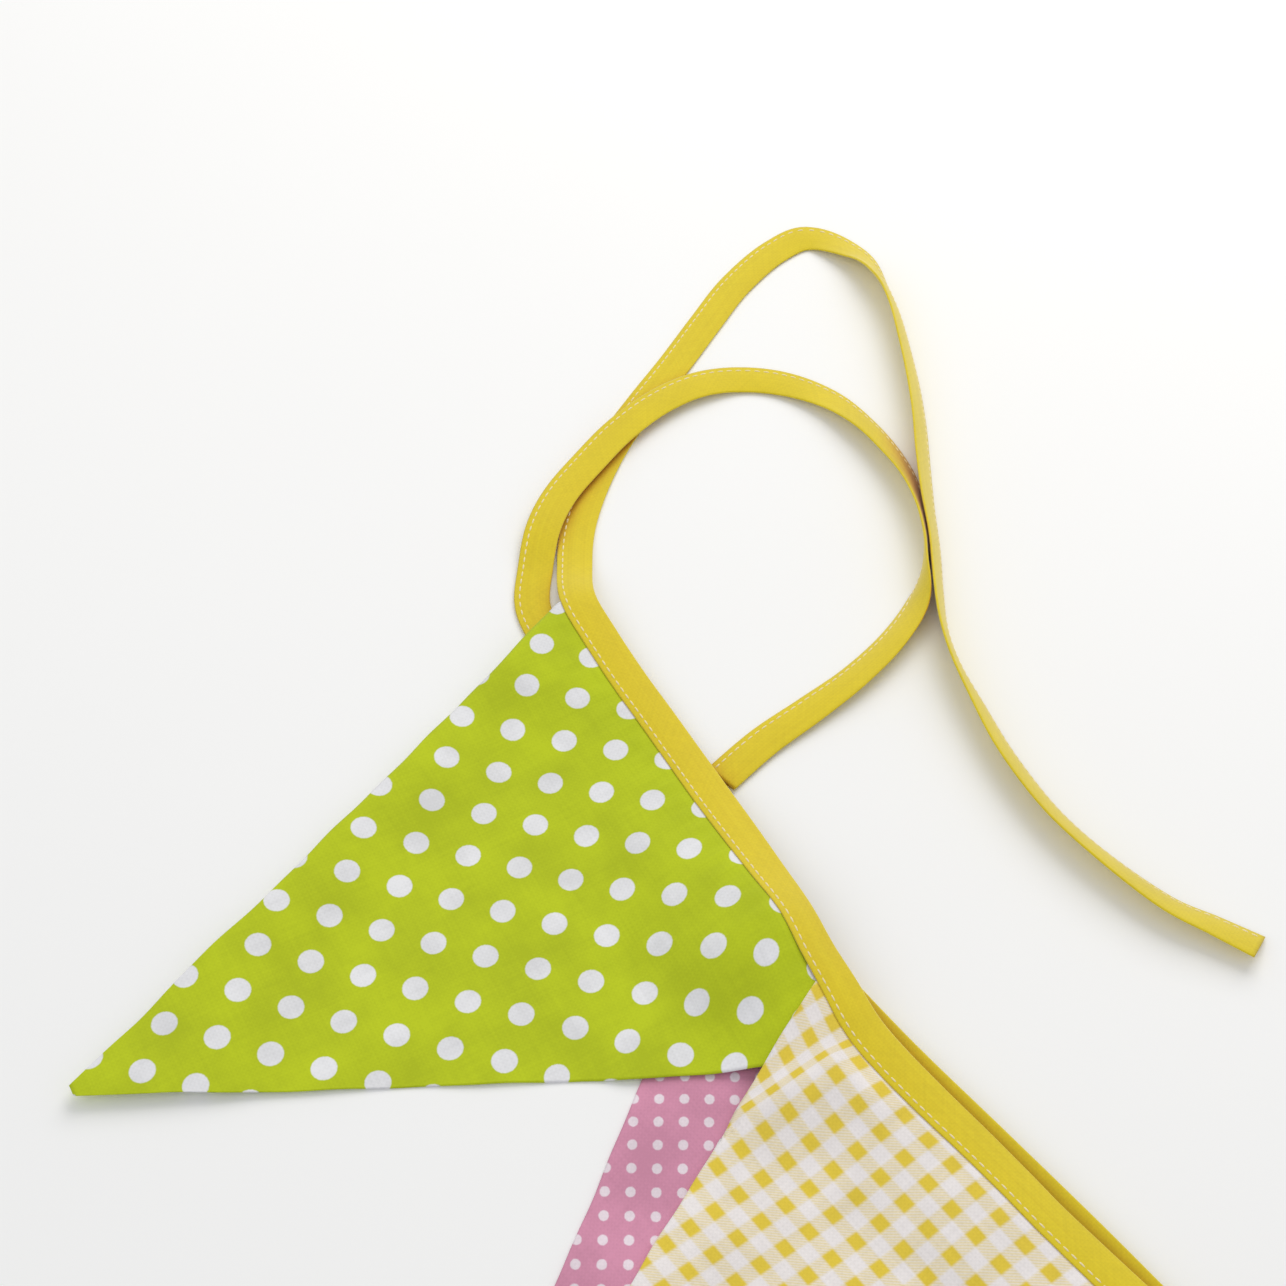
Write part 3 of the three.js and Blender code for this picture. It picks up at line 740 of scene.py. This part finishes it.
def printed_dots(name, ground, dot, pitch, diameter, turn, start):
    """Dot-printed cotton: the dye soaks into the matte ground, and the dots stay undyed, slightly grey.
    The pattern is counted in pitches from one dot, the nearest whole count is taken off, and what
    is left, in millimetres again, is the distance to the nearest dot."""
    material, tree, shader, pattern = new_cotton(name, roughness=0.86, sheen=0.12)
    bump, shade = weave(tree, pattern, turn=0.0, strength=0.4, cloudiness=3.4)
    counted = add_node(tree, "Mapping", {
        "Vector": pattern, "Location": (*start, 0), "Rotation": (0, 0, np.radians(turn)),
        "Scale": (*pitch, 1),
    }, vector_type="TEXTURE").outputs[0]
    shifted = add_node(tree, "VectorMath", {0: counted, 1: MIDDLE_OF_CELL}, operation="ADD").outputs[0]
    cell = add_node(tree, "VectorMath", {0: shifted}, operation="FRACTION").outputs[0]
    offset = add_node(tree, "VectorMath", {0: cell, 1: MIDDLE_OF_CELL}, operation="SUBTRACT").outputs[0]
    offset = add_node(tree, "VectorMath", {0: offset, 1: (*pitch, 0)}, operation="MULTIPLY").outputs[0]
    distance = add_node(tree, "VectorMath", {0: offset}, operation="LENGTH").outputs["Value"]
    bleed = add_node(tree, "TexNoise", {"Vector": pattern, "Scale": BLEEDS_PER_MM, "Detail": 2.0})
    distance = add_node(
        tree, "Math", {0: bleed.outputs["Fac"], 1: BLEED, 2: distance}, operation="MULTIPLY_ADD"
    )
    radius = diameter / 2 + BLEED_MEAN
    inside = add_node(tree, "MapRange", {
        "Value": distance.outputs[0], "From Min": radius + RIM_BLUR, "From Max": radius - RIM_BLUR,
    }).outputs[0]
    colour = add_node(tree, "Mix", {
        "Factor": inside, FIRST_COLOUR: srgb(ground), SECOND_COLOUR: srgb(dot),
    }, data_type="RGBA").outputs[MIXED_COLOUR]
    finish_cotton(tree, shader, colour, bump, shade)
    return material


green_print = printed_dots(
    "green_printed_cotton", "#B9C81A", "#E6E6E8",
    pitch=(17.36, 17.89), diameter=8.35, turn=44.4, start=(124.9, 48.0),
)
pink_print = printed_dots(
    "pink_printed_cotton", "#D591AC", "#EBDCE4",
    pitch=(7.51, 8.27), diameter=3.3, turn=41.5, start=(57.7, 88.3),
)
for print_cloth in (green_print, pink_print):
    print(print_cloth.name, "with", len(print_cloth.node_tree.nodes), "nodes")

# %% [markdown]
# ## Woven gingham
# Gingham has its pattern in the yarn: stripes of yellow threads in both directions. Square cells would
# give hard edges and lose the half tone, so the stripes are two cosines, and their sum and product tell
# where one or both of them run.

# %% Woven gingham
# A stripe fades in between these values of its cosine
STRIPE_LOW, STRIPE_HIGH = -0.28, 0.45
# Where one stripe runs alone: the yellow share, its swing, and the slanting lines that the mixed yarns
# make. The lines are drawn about twice as coarse as they are, or they would not show.
HALF_TONE, HALF_SWING, HATCH_PITCH = 0.36, 0.15, 0.85


def gingham_weave(name, yellow, white, repeat, turn, start):
    """Yarn-dyed gingham: yellow stripes in both thread directions, a cosine of the distance from the
    middle of one stripe. Where they cross the cloth is full yellow, where one runs alone yellow and
    white threads alternate, elsewhere it is white: either times half plus both times one less two
    halves."""
    material, tree, shader, pattern = new_cotton(name, roughness=0.86, sheen=0.12)
    bump, shade = weave(tree, pattern, turn=0.0, strength=0.4, cloudiness=1.8)
    angle = add_node(tree, "Mapping", {
        "Vector": pattern, "Location": (*start, 0), "Rotation": (0, 0, np.radians(turn)),
        "Scale": (repeat[0] / (2 * np.pi), repeat[1] / (2 * np.pi), 1),
    }, vector_type="TEXTURE").outputs[0]
    waves = add_node(tree, "VectorMath", {0: angle}, operation="COSINE").outputs[0]
    stripe = add_node(tree, "MapRange", {
        "Vector": waves, LOW_VECTOR: (STRIPE_LOW, STRIPE_LOW, 0),
        HIGH_VECTOR: (STRIPE_HIGH, STRIPE_HIGH, 1),
    }, data_type="FLOAT_VECTOR", interpolation_type="SMOOTHSTEP").outputs["Vector"]
    parts = add_node(tree, "SeparateXYZ", {0: stripe}).outputs
    hatch = add_node(tree, "Mapping", {"Vector": pattern, "Rotation": (0, 0, -np.pi / 4)}).outputs[0]
    hatch = add_node(
        tree, "VectorMath", {0: hatch, 1: (2 * np.pi / HATCH_PITCH, 0, 0)}, operation="MULTIPLY"
    ).outputs[0]
    hatch = add_node(tree, "VectorMath", {0: hatch}, operation="SINE").outputs[0]
    hatch = add_node(tree, "SeparateXYZ", {0: hatch}).outputs[0]
    half = add_node(
        tree, "Math", {0: hatch, 1: HALF_SWING, 2: HALF_TONE}, operation="MULTIPLY_ADD"
    ).outputs[0]
    either = add_node(tree, "Math", {0: parts[0], 1: parts[1]}, operation="ADD").outputs[0]
    both = add_node(tree, "Math", {0: parts[0], 1: parts[1]}, operation="MULTIPLY").outputs[0]
    spread = add_node(tree, "Math", {0: half, 1: -2.0, 2: 1.0}, operation="MULTIPLY_ADD").outputs[0]
    crossed = add_node(tree, "Math", {0: both, 1: spread}, operation="MULTIPLY").outputs[0]
    yarn = add_node(tree, "Math", {0: either, 1: half, 2: crossed}, operation="MULTIPLY_ADD").outputs[0]
    colour = add_node(tree, "Mix", {
        "Factor": yarn, FIRST_COLOUR: srgb(white), SECOND_COLOUR: srgb(yellow),
    }, data_type="RGBA").outputs[MIXED_COLOUR]
    finish_cotton(tree, shader, colour, bump, shade)
    return material


gingham_check = gingham_weave(
    "yellow_gingham_cotton", "#E6CB44", "#F0EAE8", repeat=(10.84, 9.05), turn=2.5, start=(50.0, 12.6)
)
print(gingham_check.name, "with", len(gingham_check.node_tree.nodes), "nodes")

# %% [markdown]
# ## Bias tape and sewing thread
# The tape is plain yellow cotton cut on the bias, pressed and sewn with a paler thread. One flat yellow
# would look like plastic, so streaks, weave and a painted shade of deeper yellow in the creases are laid over
# it.

# %% Bias tape and sewing thread
# Painted shade: the tape turns a deeper yellow in its creases and where it crosses itself, found by ambient
# occlusion within this reach
CREASE_REACH = 14.0
# The share of open sky that counts as a closed crease and as open cloth, and the least open share
CREASE_CLOSED, CREASE_OPEN, CREASE_LEAST = 0.35, 0.97, 0.3
# Streaks per millimetre along and across the tape
STREAKS_ALONG, STREAKS_ACROSS = 0.02, 0.6
# Length of one twist of the thread
TWIST = 2 / 3


def bias_tape(name, dye, streak_dye, crease_shade_colour):
    """Plain dyed cotton cut on the bias: its threads cross the tape at 45 degrees, and the pressed
    folds leave faint lengthwise streaks. Light that reaches a crease has come through or off yellow
    cloth more than once, so the creases get a painted shade of deeper yellow; ambient occlusion finds
    those places."""
    material, tree, shader, pattern = new_cotton(name, roughness=0.7, sheen=0.35)
    bump, shade = weave(tree, pattern, turn=np.pi / 4, strength=0.2, cloudiness=0.7)
    spread = add_node(tree, "Mapping", {
        "Vector": pattern, "Scale": (STREAKS_ALONG, STREAKS_ACROSS, 1),
    }).outputs[0]
    streak = add_node(tree, "TexNoise", {"Vector": spread, "Scale": 1.0, "Detail": 2.0}).outputs["Fac"]
    tone = add_node(tree, "Mix", {
        "Factor": streak, FIRST_COLOUR: srgb(streak_dye), SECOND_COLOUR: srgb(dye),
    }, data_type="RGBA").outputs[MIXED_COLOUR]
    reached = add_node(
        tree, "AmbientOcclusion", {"Distance": CREASE_REACH * MM}, samples=8, only_local=True
    )
    open_air = add_node(tree, "MapRange", {
        "Value": reached.outputs["AO"], "From Min": CREASE_CLOSED, "From Max": CREASE_OPEN,
        "To Min": CREASE_LEAST,
    }).outputs[0]
    # Painted shade in the creases: the deeper yellow where little open sky is reached
    crease_shaded = add_node(tree, "Mix", {
        "Factor": open_air, FIRST_COLOUR: srgb(crease_shade_colour), SECOND_COLOUR: tone,
    }, data_type="RGBA").outputs[MIXED_COLOUR]
    finish_cotton(tree, shader, crease_shaded, bump, shade)
    return material


def sewing_thread(name, dye, twist_shade_colour):
    """Twisted polyester thread, a little shinier than the tape, with painted shade and light in fine
    patches, one to a twist of its plies."""
    material = bpy.data.materials.new(name)
    material.use_nodes = True
    tree = material.node_tree
    shader = tree.nodes["Principled BSDF"]
    shader.inputs["Roughness"].default_value = 0.55
    place = add_node(tree, "TexCoord").outputs["Object"]
    twist = add_node(tree, "TexNoise", {"Vector": place, "Scale": 1 / (TWIST * MM)}).outputs["Fac"]
    # Painted shade and light of the twisted plies, in fine patches of noise
    colour = add_node(tree, "Mix", {
        "Factor": twist, FIRST_COLOUR: srgb(twist_shade_colour), SECOND_COLOUR: srgb(dye),
    }, data_type="RGBA").outputs[MIXED_COLOUR]
    tree.links.new(colour, shader.inputs["Base Color"])
    return material


# The last colour is the painted shade for the tape's creases
yellow_tape = bias_tape("yellow_bias_tape", dye="#E3CE1E", streak_dye="#D8BF17", crease_shade_colour="#CC8206")
# The second colour is the painted shade of the thread's twist
yellow_thread = sewing_thread("yellow_sewing_thread", dye="#FAEFC8", twist_shade_colour="#ECD58C")
for sewn in (yellow_tape, yellow_thread):
    print(sewn.name, "with", len(sewn.node_tree.nodes), "nodes")

# %% [markdown]
# ## The table
# A plain pale table keeps the eye on the cloth. Matte paint has no glints; a faint cloudiness keeps it from
# looking like a blank page.

# %% A pale painted table
PAINT_CLOUDS_PER_METRE = 4.0
floor_paint = bpy.data.materials.new("pale_matte_table")
floor_paint.use_nodes = True
paint = floor_paint.node_tree
paint_shader = paint.nodes["Principled BSDF"]
paint_shader.inputs["Roughness"].default_value = 0.9
paint_shader.inputs["Specular IOR Level"].default_value = 0.1
paint_place = add_node(paint, "TexCoord").outputs["Object"]
paint_cloud = add_node(paint, "TexNoise", {"Vector": paint_place, "Scale": PAINT_CLOUDS_PER_METRE})
paint_colour = add_node(paint, "Mix", {
    "Factor": paint_cloud.outputs["Fac"], FIRST_COLOUR: srgb("#FAFAF9"), SECOND_COLOUR: srgb("#FCFCFB"),
}, data_type="RGBA")
paint.links.new(paint_colour.outputs[MIXED_COLOUR], paint_shader.inputs["Base Color"])
floor.data.materials.append(floor_paint)
print("materials:", len(bpy.data.materials))

# %% [markdown]
# ## Tie the pieces to the part
# Each piece rides on the part's one body, takes the place of its CAD node and gets the material of its
# cloth. The stitching has no node of its own and goes with the tape. Doing this last, in one loop, shows
# at a glance what stands for what.

# %% Ride, replace and give each piece its material
pieces = [
    (binding, "binding_tape", "bias_tape", yellow_tape),
    (pink_cloth, "pennant_pink_dots", "pink_dot_cotton", pink_print),
    (green_cloth, "pennant_green_dots", "green_dot_cotton", green_print),
    (gingham_cloth, "pennant_gingham", "gingham_cotton", gingham_check),
]
for piece, node, slot, material in pieces:
    piece.data.materials.append(material)
    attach(piece, "root")
    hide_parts(node)
stitching.data.materials.append(yellow_thread)
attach(stitching, "root")
